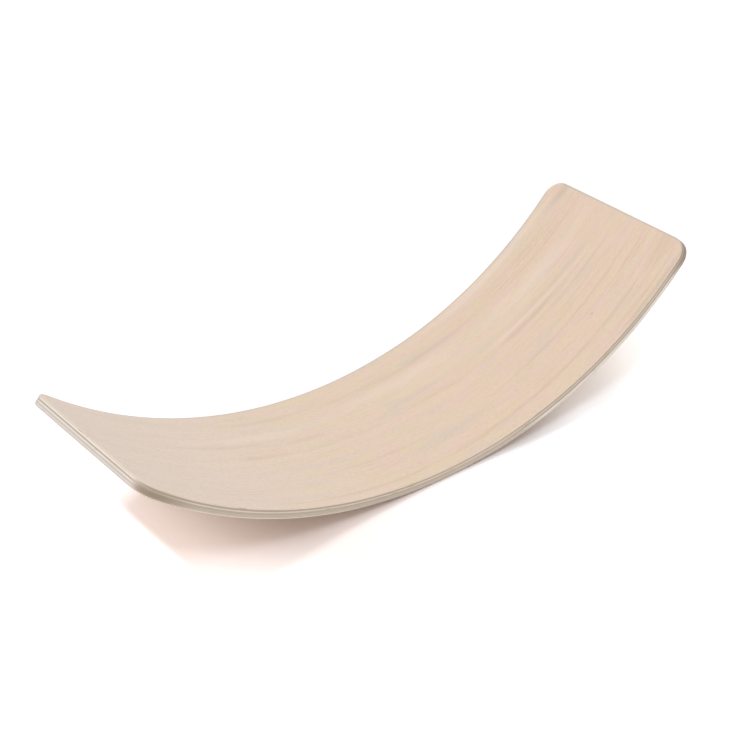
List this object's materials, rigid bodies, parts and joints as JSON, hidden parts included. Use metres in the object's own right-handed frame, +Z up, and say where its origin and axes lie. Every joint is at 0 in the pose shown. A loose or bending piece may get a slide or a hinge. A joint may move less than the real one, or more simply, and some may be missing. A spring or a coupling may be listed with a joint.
{
  "type": "rocking balance board",
  "caption": "Curved balance board of pressed wood veneers, with rounded corners, that rocks on its convex underside.",
  "frame": {"origin": "on the floor, at the middle of the flat that the board rests on, which is under the middle of the board", "axes": "+X along the board from tip to tip, +Y across it, +Z up, with the hollow side of the curve facing up"},
  "size_m": [0.8986, 0.3, 0.1935],
  "materials": {
    "face_wood": "pale veneer, grain along the board, clear satin lacquer",
    "long_wood": "pale veneer edge, sanded and lacquered",
    "cross_wood": "greyer veneer edge, end grain on the long sides, sanded and lacquered"
  },
  "bodies": {
    "root": {"top_face_veneer": "face_wood", "cross_core_veneer_1": "cross_wood", "long_core_veneer_2": "long_wood", "cross_core_veneer_3": "cross_wood", "long_core_veneer_4": "long_wood", "cross_core_veneer_5": "cross_wood", "bottom_face_veneer": "face_wood"}
  },
  "joints": []
}
